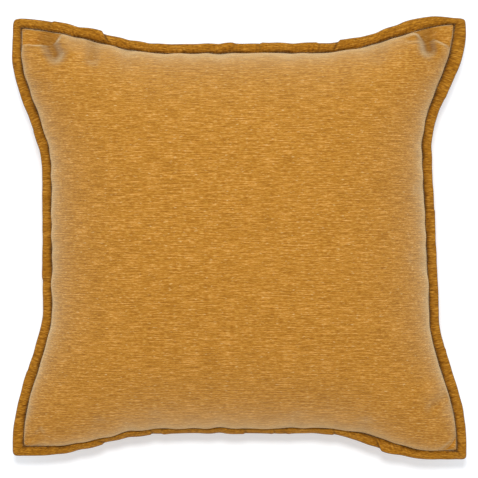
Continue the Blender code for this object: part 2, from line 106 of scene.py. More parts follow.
# Creases pressed into the front: the X and Y of the start and of the end, half the width, and the
# depth, which is negative for a ridge. The first ones are the deep ones in the upper corners.
CREASES = [
    (-0.203, 0.21, -0.1945, 0.1935, 0.0085, 0.019),
    (-0.155, 0.206, -0.1545, 0.188, 0.0062, 0.007),
    (-0.176, 0.206, -0.176, 0.195, 0.005, -0.0022),
    (0.1985, 0.214, 0.2005, 0.1995, 0.0078, 0.019),
    (0.17, 0.2125, 0.2, 0.2165, 0.0026, -0.0022),
    (0.18, 0.208, 0.198, 0.21, 0.0024, 0.002),
    (0.213, 0.211, 0.219, 0.206, 0.0035, -0.0024),
    (0.215, -0.2265, 0.2315, -0.213, 0.0026, 0.0042),
    (0.203, -0.179, 0.216, -0.17, 0.006, 0.0036),
    (0.19, -0.164, 0.208, -0.156, 0.007, -0.0018),
    (-0.219, -0.213, -0.21, -0.206, 0.004, 0.003),
    (-0.12, 0.197, -0.118, 0.184, 0.006, 0.002),
    (0.1985, -0.026, 0.183, -0.022, 0.0055, 0.0026),
    (0.199, 0.052, 0.188, 0.05, 0.005, 0.0018),
    (0.15, 0.205, 0.146, 0.19, 0.007, 0.0024),
    (-0.215, 0.16, -0.202, 0.158, 0.005, 0.0018),
    (-0.09, -0.2, -0.088, -0.188, 0.006, 0.0022),
    (0.06, -0.2, 0.062, -0.189, 0.006, 0.0022),
    (0.13, -0.208, 0.134, -0.196, 0.006, 0.0028),
    (-0.15, -0.207, -0.147, -0.196, 0.006, 0.0024)]

# Where the flange is wider or narrower than elsewhere: place along the side from -1 to 1, the
# stretch's half length and the extra width.
WIDTHS = {"right": [(0.90, 0.30, 0.0035)], "top": [(0.80, 0.20, 0.0022), (1.04, 0.14, -0.0045)],
          "left": [(-1.0, 0.25, 0.0016), (1.0, 0.2, -0.0012)], "bottom": [(1.0, 0.3, -0.0010)]}

# Folds in the flange: place along the side, which way the upper layer lies, the length that it
# rises over, its lift, how far its edge stands out, and its slant per metre of width.
FOLDS = {
    "top": [(-0.1400, 1, 0.034, 0.0044, 0.0022, -0.95), (0.1030, -1, 0.034, 0.0034, 0.0018, 0.65),
            (-0.0160, 1, 0.026, 0.0024, 0.0007, 0.80), (0.0270, -1, 0.030, 0.0016, 0.0012, -0.2),
            (0.0800, 1, 0.024, 0.0016, 0.0010, 0.2), (-0.2000, -1, 0.030, 0.0016, 0.0012, 0.2)],
    "bottom": [(-0.1600, 1, 0.034, 0.0040, 0.0018, 1.1), (-0.1010, 1, 0.026, 0.0026, 0.0018, 0.5),
               (-0.0760, -1, 0.024, 0.0020, 0.0014, -0.4), (0.0010, 1, 0.022, 0.0020, 0.0016, 0.3),
               (0.0320, 1, 0.020, 0.0018, 0.0014, 0.3), (0.0500, -1, 0.018, 0.0016, 0.0012, 0.2),
               (0.0950, 1, 0.026, 0.0026, 0.0016, 0.4), (0.1480, -1, 0.034, 0.0036, 0.0018, 0.8)],
    "left": [(0.1120, 1, 0.030, 0.0014, 0.0006, 0.3), (-0.0400, -1, 0.034, 0.0012, 0.0006, -0.2),
             (-0.1500, 1, 0.030, 0.0012, 0.0006, 0.3)],
    "right": [(0.1500, -1, 0.026, 0.0016, 0.0006, 0.4), (0.0300, 1, 0.032, 0.0014, 0.0006, -0.3),
              (-0.1250, 1, 0.028, 0.0014, 0.0006, 0.3)]}


def smooth(t):
    """Ease from 0 to 1."""
    t = np.clip(t, 0.0, 1.0)
    return t * t * (3 - 2 * t)


def sine(a):
    """u or v of a column or row at a, so that points crowd towards the seam."""
    return np.sin(np.pi / 2 * a)


def waves(t, seed, count, longest, shortest):
    """A smooth irregular curve of t, about -1 to 1, with wavelengths between two limits."""
    random = np.random.default_rng(seed)
    total = np.zeros_like(np.asarray(t, dtype=float))
    for _ in range(count):
        length = shortest * (longest / shortest) ** random.random()
        total += np.sin(2 * np.pi * (t / length + random.random())) * (0.6 + 0.8 * random.random())
    return total / math.sqrt(count)


# ---- Surfaces ----
def pulled_in(t, flat):
    beyond = np.maximum(np.abs(t) - flat, 0.0) / (1 - flat)
    return 1 - beyond ** PULL_POWER


def crown(t, flat=0.0):
    beyond = np.maximum(np.abs(t) - flat, 0.0) / (1 - flat)
    return np.sqrt(np.maximum(1 - beyond ** CROWN_POWER, 0.0))


def straightness(v):
    return np.minimum(smooth((1 + v) / (1 + BAND_SEAM_V)), smooth(v / BAND_BODY_V))


def side_pull(t, depth, tilt, low, high):
    """How far a side of the seam is pulled in at t from -1 to 1."""
    start = np.where(t < 0, low[0], high[0])
    full = np.where(t < 0, low[1], high[1])
    return depth * smooth((start - np.abs(t)) / (start - full)) * (1 + tilt * t)


def seam_half_x(u, v):
    """Distance of the left or right seam from the middle, in row v."""
    right = np.asarray(u) > 0
    low = np.where(right, SEAM_CORNERS[1, -1][0], -SEAM_CORNERS[-1, -1][0])
    high = np.where(right, SEAM_CORNERS[1, 1][0], -SEAM_CORNERS[-1, 1][0])
    pull = np.where(right, side_pull(v, **SIDES["right"]), side_pull(v, **SIDES["left"]))
    return low + (high - low) * (v + 1) / 2 - pull + 0.00016 * waves(v, 61, 9, 0.34, 0.09)


def seam_half_y(u, v):
    """Distance of the bottom or top seam from the middle, in column u."""
    top = np.asarray(v) > 0
    left = np.where(top, SEAM_CORNERS[-1, 1][1], -SEAM_CORNERS[-1, -1][1])
    right = np.where(top, SEAM_CORNERS[1, 1][1], -SEAM_CORNERS[1, -1][1])
    pull = np.where(top, side_pull(u, **SIDES["top"]), side_pull(u, **SIDES["bottom"]))
    return left + (right - left) * (u + 1) / 2 - pull + 0.00028 * waves(u, 71, 9, 0.34, 0.08)


def near_seam(t, start):
    """0 up to start, then rising to 1 at the seam, evenly over the curved wall."""
    angle = np.arcsin(np.clip(np.abs(t), 0, 1))
    begin = np.arcsin(start)
    return smooth((angle - begin) / (math.pi / 2 - begin))


def cad_surface(u, v, inset, side):
    """The CAD model's layer at this depth inside the cover."""
    straight = straightness(v) if side == BACK else np.zeros_like(v)
    pull_y = np.where(v > 0, PULL_TOP, PULL_BOTTOM)
    pull_at_u = pulled_in(u, PULL_FLAT)
    pull_at_u = pull_at_u + (pulled_in(u, STRAIGHT) - pull_at_u) * straight
    x = u * (CORNER_X - inset - PULL_SIDE * pulled_in(v, PULL_FLAT))
    y = v * (CORNER_Y - inset - pull_y * pull_at_u)
    rise = crown(u, STRAIGHT * straight) * crown(v)
    top = FRONT_CROWN
    if side == BACK:
        rise = np.minimum(rise * PRESSED, 1.0)
        top = BACK_CROWN
    return np.stack([x, y, SEAM_Z + side * (top - inset) * rise], axis=-1)


def overhang(points, u, v, side, amount):
    """Lean the wall out over the seam, as a full pillow's side does."""
    share = np.clip(np.abs(points[..., 2] - SEAM_Z) / LEAN_HEIGHT, 0, 1)
    lean = 6.75 * share * (1 - share) ** 2  # 1 at a third of that height
    uneven_x = 0.0007 * waves(points[..., 1], 11 + side, 7, 0.10, 0.018)
    uneven_y = 0.0009 * waves(points[..., 0], 23 + side, 7, 0.10, 0.018)
    along_x = np.where(u < 0, amount[0], amount[1]) + uneven_x
    along_y = np.where(v < 0, amount[2], amount[3]) + uneven_y
    above_zip = smooth((v + 0.75) / 0.15) if side == BACK else 1.0
    points[..., 0] += np.sign(u) * lean * smooth((np.abs(u) - 0.80) / 0.15) * along_x * above_zip
    points[..., 1] += np.sign(v) * lean * smooth((np.abs(v) - 0.80) / 0.15) * along_y * above_zip
    return points


def pocket_fill(points, u, v):
    """1 on the stuffed body, 0 in a corner's empty pocket."""
    fill = np.ones_like(u)
    for (sign_x, sign_y), (along_x, along_y, softness, square) in POCKETS.items():
        corner_x, corner_y = SEAM_CORNERS[sign_x, sign_y]
        from_side = np.maximum(sign_x * (corner_x - points[..., 0]), 0)
        from_end = np.maximum(sign_y * (corner_y - points[..., 1]), 0)
        reach = ((from_side / along_x) ** square + (from_end / along_y) ** square) ** (1 / square)
        here = smooth((reach - 1 + softness) / softness)
        inside = (np.sign(u) == sign_x) & (np.sign(v) == sign_y)
        fill = np.where(inside, np.minimum(fill, here), fill)
    return fill


def front_surface(u, v, pockets=True):
    """The front of the stuffed cover, before its cloth has settled."""
    points = np.stack([u * seam_half_x(u, v), v * seam_half_y(u, v), np.zeros_like(u)], axis=-1)
    fill = pocket_fill(points, u, v) if pockets else np.ones_like(u)
    rise = crown(u) * crown(v)
    slack = POCKET_HEIGHT * smooth(rise / 0.05)
    points[..., 2] = SEAM_Z + np.maximum(FRONT_CROWN * rise * fill, slack)
    return overhang(points, u, v, FRONT, FRONT_LEAN)


def back_surface(u, v):
    """The back of the cover: the CAD model's surface, carried over to the visible seam."""
    points = cad_surface(u, v, 0.0, BACK)
    seam_x = seam_half_x(u, v) - (CORNER_X - PULL_SIDE * pulled_in(v, PULL_FLAT))
    points[..., 0] += u * seam_x * near_seam(u, WALL_START)
    pull_y = np.where(v > 0, PULL_TOP, PULL_BOTTOM)
    seam_y = seam_half_y(u, v) - (CORNER_Y - pull_y * pulled_in(u, PULL_FLAT))
    points[..., 1] += v * seam_y * near_seam(v, np.where(v > 0, WALL_START, -BAND_SEAM_V))
    return overhang(points, u, v, BACK, BACK_LEAN)


# ---- Cloth ----
def quads(index):
    """The faces between neighbouring entries of a grid of point numbers."""
    corners = [index[:-1, :-1], index[1:, :-1], index[1:, 1:], index[:-1, 1:]]
    return np.stack(corners, axis=-1).reshape(-1, 4)


def arc_share(points):
    """Signed length along the first axis from its middle, as a share of the half's length."""
    steps = np.linalg.norm(np.diff(points, axis=0), axis=1)
    length = np.concatenate([[0], np.cumsum(steps)])
    length -= length[len(length) // 2]
    return np.where(length < 0, length / -length[0], length / length[-1])


def simulate(cloth, rest_key):
    """Run the cloth with pressure inside, and return its points after the last frame."""
    modifier = cloth.modifiers.new("Cloth", "CLOTH")
    settings = modifier.settings
    for key, value in CLOTH.items():
        setattr(settings, key, value)
    settings.vertex_group_mass = "held"
    settings.rest_shape_key = rest_key
    settings.effector_weights.gravity = 0.0
    modifier.collision_settings.use_collision = False
    modifier.collision_settings.use_self_collision = False
    modifier.point_cache.frame_start = 1
    modifier.point_cache.frame_end = SIM_FRAMES
    scene = bpy.context.scene
    scene.frame_start, scene.frame_end = 1, SIM_FRAMES
    for number in range(1, SIM_FRAMES + 1):
        scene.frame_set(number)
    evaluated = cloth.evaluated_get(bpy.context.evaluated_depsgraph_get())
    settled = evaluated.to_mesh()
    after = np.empty(len(settled.vertices) * 3)
    settled.vertices.foreach_get("co", after)
    evaluated.to_mesh_clear()
    scene.frame_set(1)
    return after.reshape(-1, 3)


def settle(front, back, u, v):
    """Let the cut-flat cloth settle over the stuffed shape. Returns how far each point moves."""
    count = front.shape[0]
    middle = count // 2
    share_u = arc_share(front[:, middle])[:, None]
    share_v = arc_share(front[middle, :])[None, :]
    flat_x = FLAT_HALF * (u + (share_u - u) * crown(v))
    flat_y = FLAT_HALF * (v + (share_v - v) * crown(u))
    inner = np.zeros((count, count), dtype=bool)
    inner[1:-1, 1:-1] = True
    front_index = np.arange(count * count).reshape(count, count)
    back_index = front_index.copy()
    back_index[inner] = count * count + np.arange(inner.sum())
    points = np.concatenate([front.reshape(-1, 3), back[inner]])
    apart = np.where(inner, 0.002, 0.0)
    rest_front = np.stack([flat_x, flat_y, apart], axis=-1).reshape(-1, 3)
    rest_back = np.stack([flat_x, flat_y, -apart], axis=-1)[inner]

    faces = np.concatenate([quads(front_index), quads(back_index)[:, ::-1]])
    mesh = bpy.data.meshes.new("cloth")
    mesh.from_pydata(points.tolist(), [], faces.tolist())
    cloth = bpy.data.objects.new("cloth", mesh)
    bpy.context.scene.collection.objects.link(cloth)
    cloth.shape_key_add(name="stuffed")
    flat = cloth.shape_key_add(name="flat")
    flat.data.foreach_set("co", np.concatenate([rest_front, rest_back]).ravel())

    # The seam and the band along the zip are held, and the filling holds the rest loosely.
    held = np.where(inner, HELD_FRONT, 1.0)
    held_back = np.where(v < -0.80, 1.0, HELD_BACK) + 0 * u
    weight = np.concatenate([held.ravel(), held_back[inner]])
    group = cloth.vertex_groups.new(name="held")
    for value in np.unique(weight):
        group.add(np.nonzero(weight == value)[0].tolist(), float(value), "REPLACE")

    moved = simulate(cloth, flat) - points
    bpy.data.objects.remove(cloth, do_unlink=True)
    bpy.data.meshes.remove(mesh)
    return moved[front_index], moved[back_index]


def spline_weights(count, at):
    """Catmull-Rom weights of count even samples from -1 to 1, for each value in at."""
    position = (at + 1) / 2 * (count - 1)
    first = np.clip(np.floor(position).astype(int), 0, count - 2)
    t = position - first
    weights = np.zeros((len(at), count))
    rows = np.arange(len(at))
    for offset, value in ((-1, -t / 2 + t * t - t ** 3 / 2), (0, 1 - 2.5 * t * t + 1.5 * t ** 3),
                          (1, t / 2 + 2 * t * t - 1.5 * t ** 3), (2, -t * t / 2 + t ** 3 / 2)):
        np.add.at(weights, (rows, np.clip(first + offset, 0, count - 1)), value)
    return weights


def blur(field, times):
    """Even out a grid of values, keeping its edges."""
    for _ in range(times):
        for axis in (0, 1):
            f = np.moveaxis(field, axis, 0).copy()
            f[1:-1] = (f[:-2] + 2 * f[1:-1] + f[2:]) / 4
            field = np.moveaxis(f, 0, axis)
    return field


# ---- Meshes ----
def grid_faces(rows, columns, closed=False):
    """Quads of a grid whose points run along columns first."""
    index = np.arange(rows * columns).reshape(rows, columns)
    if closed:
        index = np.concatenate([index, index[:1]])
    return quads(index)


def arc_uv(points):
    """Cloth coordinates in metres: the lengths along the rows and columns from their middles."""
    def lengths(grid):
        steps = np.linalg.norm(np.diff(grid, axis=0), axis=-1)
        return np.concatenate([np.zeros((1, grid.shape[1])), np.cumsum(steps, axis=0)])

    along_x = lengths(points)
    along_y = lengths(points.transpose(1, 0, 2)).T
    middle_x, middle_y = points.shape[0] // 2, points.shape[1] // 2
    return np.stack([along_x - along_x[middle_x], along_y - along_y[:, middle_y:middle_y + 1]],
                    axis=-1)


def mesh_object(name, parts, materials, flip=False):
    """One object from parts: (points, faces, cloth coordinates or None, material number).

    A part may end with its painted shade at each point, from 0, darkest, in a ditch to 1 in the open.
    """
    points, faces, uvs, slots, shades = [], [], [], [], []
    total = 0
    for part_points, part_faces, uv, number, *shade in parts:
        part_points = part_points.reshape(-1, 3)
        shades.append(shade[0].ravel() if shade else np.ones(len(part_points)))
        points.append(part_points)
        faces.append(part_faces + total)
        uvs.append(uv.reshape(-1, 2) if uv is not None else part_points[:, :2])
        slots.append(np.full(len(part_faces), number))
        total += len(part_points)
    points, faces = np.concatenate(points), np.concatenate(faces)
    uvs, slots = np.concatenate(uvs), np.concatenate(slots)
    if flip:
        faces = faces[:, ::-1]
    mesh = bpy.data.meshes.new(name)
    mesh.vertices.add(len(points))
    mesh.vertices.foreach_set("co", points.ravel())
    mesh.loops.add(faces.size)
    mesh.loops.foreach_set("vertex_index", faces.ravel())
    mesh.polygons.add(len(faces))
    mesh.polygons.foreach_set("loop_start", np.arange(0, faces.size, 4))
    mesh.polygons.foreach_set("material_index", slots)
    mesh.polygons.foreach_set("use_smooth", np.ones(len(faces), dtype=bool))
    # The shade attribute is painted shade, which the chenille darkens its colour by.
    attribute = mesh.attributes.new("shade", "FLOAT", "POINT")
    attribute.data.foreach_set("value", np.concatenate(shades).astype(np.float32))
    layer = mesh.uv_layers.new(name="cloth")
    layer.uv.foreach_set("vector", uvs[faces.ravel()].ravel())
    for material in materials:
        mesh.materials.append(material)
    mesh.update(calc_edges=True)
    mesh.validate()
    obj = bpy.data.objects.new(name, mesh)
    bpy.context.scene.collection.objects.link(obj)
    return obj


def tube(path, radius, sides, closed):
    """Points and faces of a round tube along a path."""
    if closed:
        ahead, behind = np.roll(path, -1, axis=0), np.roll(path, 1, axis=0)
    else:
        ahead = np.concatenate([path[1:], path[-1:]])
        behind = np.concatenate([path[:1], path[:-1]])
    along = ahead - behind
    along /= np.linalg.norm(along, axis=1, keepdims=True)
    helper = np.where(np.abs(along[:, 2:3]) > 0.9, [[1.0, 0, 0]], [[0, 0, 1.0]])
    across = np.cross(along, helper)
    across /= np.linalg.norm(across, axis=1, keepdims=True)
    other = np.cross(across, along)
    angle = np.linspace(0, 2 * np.pi, sides + 1)
    ring = (across[:, None] * np.cos(angle)[None, :, None]
            + other[:, None] * np.sin(angle)[None, :, None])
    radius = np.broadcast_to(np.asarray(radius, dtype=float), (len(path),))
    points = path[:, None] + ring * radius[:, None, None]
    return points, grid_faces(len(path), sides + 1, closed=closed)


def stitches(centres, along, up, length, radius, dip):
    """Separate stitches that go into the cloth at both ends."""
    shape = np.linspace(-1, 1, 7)
    thick = radius * np.sqrt(np.maximum(1 - np.abs(shape) ** 6, 0.15))
    parts = []
    for centre, direction, normal in zip(centres, along, up):
        path = (centre + direction * (shape[:, None] * length / 2)
                - normal * (dip * np.abs(shape[:, None]) ** 3))
        parts.append((*tube(path, thick, 6, False), None, 0))
    return parts


# ---- Flange ----
def unit_square(s):
    """(u, v) once round the seam from its lower left corner, s from 0 to 8."""
    s = np.mod(s, 8.0)
    u = np.where(s < 2, s - 1, np.where(s < 4, 1, np.where(s < 6, 5 - s, -1)))
    v = np.where(s < 2, -1, np.where(s < 4, s - 3, np.where(s < 6, 1, 7 - s)))
    return u, v


def side_slope(half, t, step=1e-3):
    """How much a side of the seam moves outwards per metre along it, at t."""
    t = np.clip(t, -1 + step, 1 - step)
    side_half = 0.225  # half the length of a side
    return (half(t + step) - half(t - step)) / (2 * step * side_half)


def side_of(u, v, name):
    """Where a place round the seam lies on the named side."""
    along_side = np.abs(u) >= np.abs(v)
    return {"left": along_side & (u < 0), "right": along_side & (u > 0),
            "bottom": ~along_side & (v < 0), "top": ~along_side & (v > 0)}[name]


def flange_widths(seam_u, seam_v, u, v):
    """The flange's width over the usual one, across the left or right, and the bottom or top."""
    widths = [np.ones_like(seam_u * 1.0), np.ones_like(seam_v * 1.0)]
    for name, stretches in WIDTHS.items():
        axis = 0 if name in ("left", "right") else 1
        sign = 1 if name in ("right", "top") else -1
        on = (u, v)[axis] * sign > 0.5
        for middle, spread, extra in stretches:
            near = smooth(1 - np.abs((seam_v, seam_u)[axis] - middle) / spread)
            widths[axis] = widths[axis] + extra / FLANGE * near * on
    return widths


def folds(x, y, u, v, share):
    """Lift, outward reach and painted shadow of the flange's folds, where a layer ends in a step.

    The step is 3.4 mm wide, and a fold of 4 mm or more gets the full painted shadow beside it.
    """
    lift, stand_out, shade = np.zeros_like(x), np.zeros_like(x), np.ones_like(x)
    for name, on_side in FOLDS.items():
        here = side_of(u, v, name)
        t = y if name in ("left", "right") else x
        for middle, way, length, height, reach, slant in on_side:
            before = way * (middle + slant * share * FLANGE - t)
            rise = smooth(1 - before / length) * smooth(1 + before / 0.0034) * here
            lift = lift + height * rise * share ** 0.8
            stand_out = stand_out + reach * rise * share
            # Painted shadow on the lower layer, just past the step.
            under = np.exp(-((before + 0.0040) / 0.0013) ** 2) * here * smooth(2 * share)
            shade = shade * (1 - np.clip(height / 0.0040, 0, 1) * 0.75 * under)
    return lift, stand_out, shade


def puckers(s, out):
    """Height and painted shade of the wrinkles that the stitches draw into the flange."""
    place_along = s * FLAT_HALF
    past = np.maximum(out, 0)
    beat = 2 * np.pi * (place_along / STITCH_PITCH + 0.12 * waves(s, 29, 7, 0.2, 0.04))
    strength = 0.5 + 0.5 * smooth(0.5 + 0.5 * waves(s, 37, 9, 0.5, 0.08))
    height = np.cos(beat) * 0.00034 * strength * np.exp(-past / 0.0042)
    fine = 0.00042 * waves(place_along, 17, 16, 0.016, 0.0048)
    height = height + fine * np.exp(-np.maximum(past - 0.003, 0) / 0.006)
    # Painted shade in the low spots between the wrinkles, fading away from the seam.
    low = (0.5 - 0.5 * np.cos(beat)) ** 3
    return height, 1 - 0.42 * low * strength * np.exp(-past / 0.0070)


def flange_surface(s, out, side, skin=0.0):
    """Point and painted shade of the flange's front or back skin, out metres from the seam."""
    u, v = unit_square(s)
    across_x, across_y = np.abs(u) >= np.abs(v), np.abs(v) >= np.abs(u)
    flat_u, flat_v = u * (FLAT_HALF + np.maximum(out, 0)), v * (FLAT_HALF + np.maximum(out, 0))
    seam_u, seam_v = np.clip(flat_u / FLAT_HALF, -1, 1), np.clip(flat_v / FLAT_HALF, -1, 1)
    du, dv = flat_u - seam_u * FLAT_HALF, flat_v - seam_v * FLAT_HALF
    x = seam_u * seam_half_x(seam_u, seam_v)
    y = seam_v * seam_half_y(seam_u, seam_v)
    slope_x = side_slope(lambda t: seam_half_x(np.where(u < 0, -1.0, 1.0), t), seam_v)
    slope_y = side_slope(lambda t: seam_half_y(t, np.where(v < 0, -1.0, 1.0)), seam_u)

    # Droop, in radians: the bottom's flange hangs down along its middle.
    hanging = smooth((seam_u + 0.98) / 0.35) * smooth((0.66 - seam_u) / 0.30)
    droop_y = np.where(v < 0, 0.15 + 0.72 * hanging, 0.08)
    droop_x = 0.10 + 0.06 * waves(y, 5, 3, 0.2, 0.08)
    share = np.clip(out / FLANGE, 0, 1)
    width_x, width_y = flange_widths(seam_u, seam_v, u, v)
    lift, stand_out, shade = folds(x, y, u, v, share)
    run_x = np.sign(du) * (np.abs(du) * width_x + stand_out * across_x)
    run_y = np.sign(dv) * (np.abs(dv) * width_y + stand_out * ~across_x)
    longer = np.maximum(np.maximum(np.abs(du), np.abs(dv)), 1e-9)
    blunt = 1 - 0.14 * (np.minimum(np.abs(du), np.abs(dv)) / longer) ** 4  # rounds the corners
    run_x, run_y = run_x * blunt, run_y * blunt
    down = np.abs(run_x) * np.sin(droop_x) + np.abs(run_y) * np.sin(droop_y)
    run_x, run_y = run_x * np.cos(droop_x), run_y * np.cos(droop_y)
    x, y = x + run_x - np.abs(run_y) * slope_y, y + run_y - np.abs(run_x) * slope_x
    x = x + np.where(across_x, np.sign(u) * np.minimum(out, 0), 0)
    y = y + np.where(across_y, np.sign(v) * np.minimum(out, 0), 0)

    ripple = 0.0008 * waves(s, 7, 9, 0.45, 0.07) * share
    pucker, pucker_shade = puckers(s, out)
    edge = np.clip((out - EDGE_START) / (FLANGE - EDGE_START), 0, 1)
    rounded = np.sqrt(np.maximum(1 - edge ** 2, 0))
    half = (0.0030 * smooth((out + TUCK) / 0.0050) - TUCK) * rounded
    half = half + pucker * rounded * smooth((out + 0.001) / 0.002)
    z = SEAM_Z - down + ripple + lift + side * (np.maximum(half, -TUCK) + 0.0003 + skin)
    # Painted shade in the ditch along the seam, darkest at the stitches, on top of the folds' and
    # puckers' painted shade.
    ditch = 0.0036 * (1 + 0.35 * waves(s, 43, 8, 0.3, 0.06))
    shade = shade * pucker_shade * (0.03 + 0.97 * smooth((out + 0.0005) / ditch) ** 0.85)
    return np.stack([x, y, z], axis=-1), shade


def flange_point(s, out, side, skin=0.0):
    return flange_surface(s, out, side, skin)[0]


# The flange's rows of points: distances from the seam.
OUT_ROWS = np.array([-0.0015, 0.0, 0.0006, 0.0014, 0.0024, 0.0036, 0.0048, 0.0060, 0.0072,
                     0.0082, 0.0090, 0.0096, 0.0100, 0.0103, FLANGE])


def flange_part(start, end, side):
    """Part of the flange's skin between two places round the seam, in its panel's 2nd material."""
    columns = int((end - start) * FLAT_HALF / 0.0010)  # one each millimetre
    s = np.linspace(start, end, columns + 1)
    points, shade = flange_surface(s[:, None], OUT_ROWS[None, :], side)
    u, v = unit_square(s[:, None])
    outside = FLAT_HALF + OUT_ROWS[None, :]
    uv = np.stack([u * outside, v * outside], axis=-1)
    return points, grid_faces(columns + 1, len(OUT_ROWS)), uv, 1, shade


# ---- Materials ----
def new_material(name):
    material = bpy.data.materials.new(name)
    material.use_nodes = True
    tree = material.node_tree
    return material, tree, tree.nodes["Principled BSDF"]


def connect(tree, made, inputs):
    """Set a node's inputs; one that is given as a socket is linked."""
    for key, value in inputs.items():
        if isinstance(value, bpy.types.NodeSocket):
            tree.links.new(value, made.inputs[key])
        else:
            made.inputs[key].default_value = value


def node(tree, kind, inputs, **settings):
    """A new node with its inputs and settings."""
    made = tree.nodes.new(kind)
    for key, value in settings.items():
        setattr(made, key, value)
    connect(tree, made, inputs)
    return made


def object_coordinates(tree):
    return node(tree, "ShaderNodeTexCoord", {}).outputs["Object"]


def noise(tree, coordinates, scale, detail, **more):
    inputs = {"Vector": coordinates, "Scale": scale, "Detail": detail}
    inputs.update({key.capitalize(): value for key, value in more.items()})
    return node(tree, "ShaderNodeTexNoise", inputs).outputs["Fac"]


def stretched_noise(tree, coordinates, scale, detail, roughness, distortion=0.0):
    """Noise whose features are 1/scale metres long along each axis."""
    mapped = node(tree, "ShaderNodeMapping", {"Vector": coordinates, "Scale": scale}).outputs[0]
    return noise(tree, mapped, 1.0, detail, roughness=roughness, distortion=distortion)


def bands(tree, coordinates, scale, direction, distortion, **more):
    """Even waves across one axis."""
    inputs = {"Vector": coordinates, "Scale": scale, "Distortion": distortion}
    inputs.update(more)
    return node(tree, "ShaderNodeTexWave", inputs, bands_direction=direction).outputs["Fac"]


def bump(tree, height, strength, distance):
    inputs = {"Strength": strength, "Distance": distance, "Height": height}
    return node(tree, "ShaderNodeBump", inputs).outputs[0]


def ramp(tree, value, stops):
    """A colour ramp through (position, colour or grey) stops, from low to high."""
    made = node(tree, "ShaderNodeValToRGB", {"Fac": value})
    elements = made.color_ramp.elements
    for number, (position, colour) in enumerate(stops):
        element = elements[number] if number < 2 else elements.new(position)
        element.position = position
        element.color = (*(colour if isinstance(colour, tuple) else (colour,) * 3), 1.0)
    return made.outputs["Color"]


def mix(tree, factor, first, second, blend="MIX"):
    """Two colours mixed; a mix node's inputs 0, 6 and 7 are its factor and its colours."""
    first, second = ((*c, 1.0) if isinstance(c, tuple) else c for c in (first, second))
    made = node(tree, "ShaderNodeMix", {}, data_type="RGBA", blend_type=blend)
    connect(tree, made, {0: factor, 6: first, 7: second})
    return made.outputs[2]


def math_node(tree, operation, first, second):
    return node(tree, "ShaderNodeMath", {0: first, 1: second}, operation=operation).outputs[0]


def chenille(name, dark, mid, light, pale, sheen):
    """Chenille: short pile on crosswise yarns, with slubs along them."""
    material, tree, shader = new_material(name)
    cloth = node(tree, "ShaderNodeUVMap", {}, uv_map="cloth").outputs[0]
    fine = stretched_noise(tree, cloth, (220, 1050, 1), 3.0, 0.62)
    slub = stretched_noise(tree, cloth, (50, 800, 1), 2.5, 0.58, 0.10)
    flecks = stretched_noise(tree, cloth, (190, 640, 3), 1.0, 0.5)
    patches = stretched_noise(tree, cloth, (7, 30, 1), 3.0, 0.55)
    pile = stretched_noise(tree, cloth, (1900, 1500, 1), 2.0, 0.6)

    colour = ramp(tree, fine, [(0.34, dark), (0.49, mid), (0.64, light)])
    slub_tone = ramp(tree, slub, [(0.34, (0.80, 0.75, 0.58)), (0.5, 1.0),
                                  (0.64, (1.32, 1.45, 3.10))])
    colour = mix(tree, 1.0, colour, slub_tone, "MULTIPLY")
    patch_tone = ramp(tree, patches, [(0.3, (0.96, 0.95, 0.90)), (0.7, (1.04, 1.05, 1.14))])
    colour = mix(tree, 1.0, colour, patch_tone, "MULTIPLY")
    fleck_share = ramp(tree, flecks, [(0.66, 0.0), (0.78, 0.8)])
    colour = mix(tree, fleck_share, colour, pale)
    # Painted shade: the colour goes towards near black where the shade attribute is low.
    shade = node(tree, "ShaderNodeAttribute", {}, attribute_name="shade").outputs["Fac"]
    colour = mix(tree, shade, (0.050, 0.015, 0.001), colour)

    ribs = bands(tree, cloth, 140.0, "Y", 2.5, **{"Detail": 2.0, "Detail Scale": 1.4})
    height = math_node(tree, "ADD", math_node(tree, "MULTIPLY", ribs, 0.45), fine)
    height = math_node(tree, "ADD", height, math_node(tree, "MULTIPLY", pile, 0.35))
    rough = math_node(tree, "ADD", math_node(tree, "MULTIPLY", fine, 0.15), 0.82)
    connect(tree, shader, {"Base Color": colour, "Normal": bump(tree, height, 0.55, 0.0006),
                           "Roughness": rough, "Specular IOR Level": 0.15, "Sheen Weight": sheen,
                           "Sheen Roughness": 0.50, "Sheen Tint": (1.0, 0.92, 0.62, 1.0)})
    return material


def thread_material(name, dark, light):
    """Twisted thread, with its ply in the bump."""
    material, tree, shader = new_material(name)
    spot = object_coordinates(tree)
    colour = ramp(tree, noise(tree, spot, 900.0, 2.0), [(0.3, dark), (0.7, light)])
    ply = bands(tree, spot, 900.0, "DIAGONAL", 0.6)
    connect(tree, shader, {"Base Color": colour, "Normal": bump(tree, ply, 0.6, 0.0002),
                           "Roughness": 0.7, "Sheen Weight": 0.2})
    return material


def woven(name, dark, light, pitch, roughness):
    """A fine plain weave in object coordinates."""
    material, tree, shader = new_material(name)
    spot = object_coordinates(tree)
    scale = 2 * math.pi / (pitch * 20)  # a wave node has 20 radians per unit at scale 1
    across, along = (bands(tree, spot, scale, direction, 0.3) for direction in "XY")
    weave = math_node(tree, "MAXIMUM", across, along)
    soft = noise(tree, spot, 160.0, 3.0)
    tone = math_node(tree, "ADD", math_node(tree, "MULTIPLY", weave, 0.5),
                     math_node(tree, "MULTIPLY", soft, 0.5))
    colour = ramp(tree, tone, [(0.25, dark), (0.8, light)])
    connect(tree, shader, {"Base Color": colour, "Normal": bump(tree, weave, 0.5, 0.00015),
                           "Roughness": roughness, "Sheen Weight": 0.1})
    return material


def brass_material():
    """Antique brass, patchily darker and brighter, as worn brass is."""
    material, tree, shader = new_material("zip_brass_worn")
    spot = object_coordinates(tree)
    wear = noise(tree, spot, 420.0, 5.0)
    scratches = stretched_noise(tree, spot, (90, 2600, 2600), 2.0, 0.6)
    colour = ramp(tree, wear, [(0.35, (0.30, 0.19, 0.07)), (0.65, (0.72, 0.52, 0.25))])
    rough = ramp(tree, scratches, [(0.3, 0.24), (0.8, 0.48)])
    connect(tree, shader, {"Base Color": colour, "Roughness": rough, "Metallic": 1.0,
                           "Normal": bump(tree, scratches, 0.15, 0.0001)})
    return material


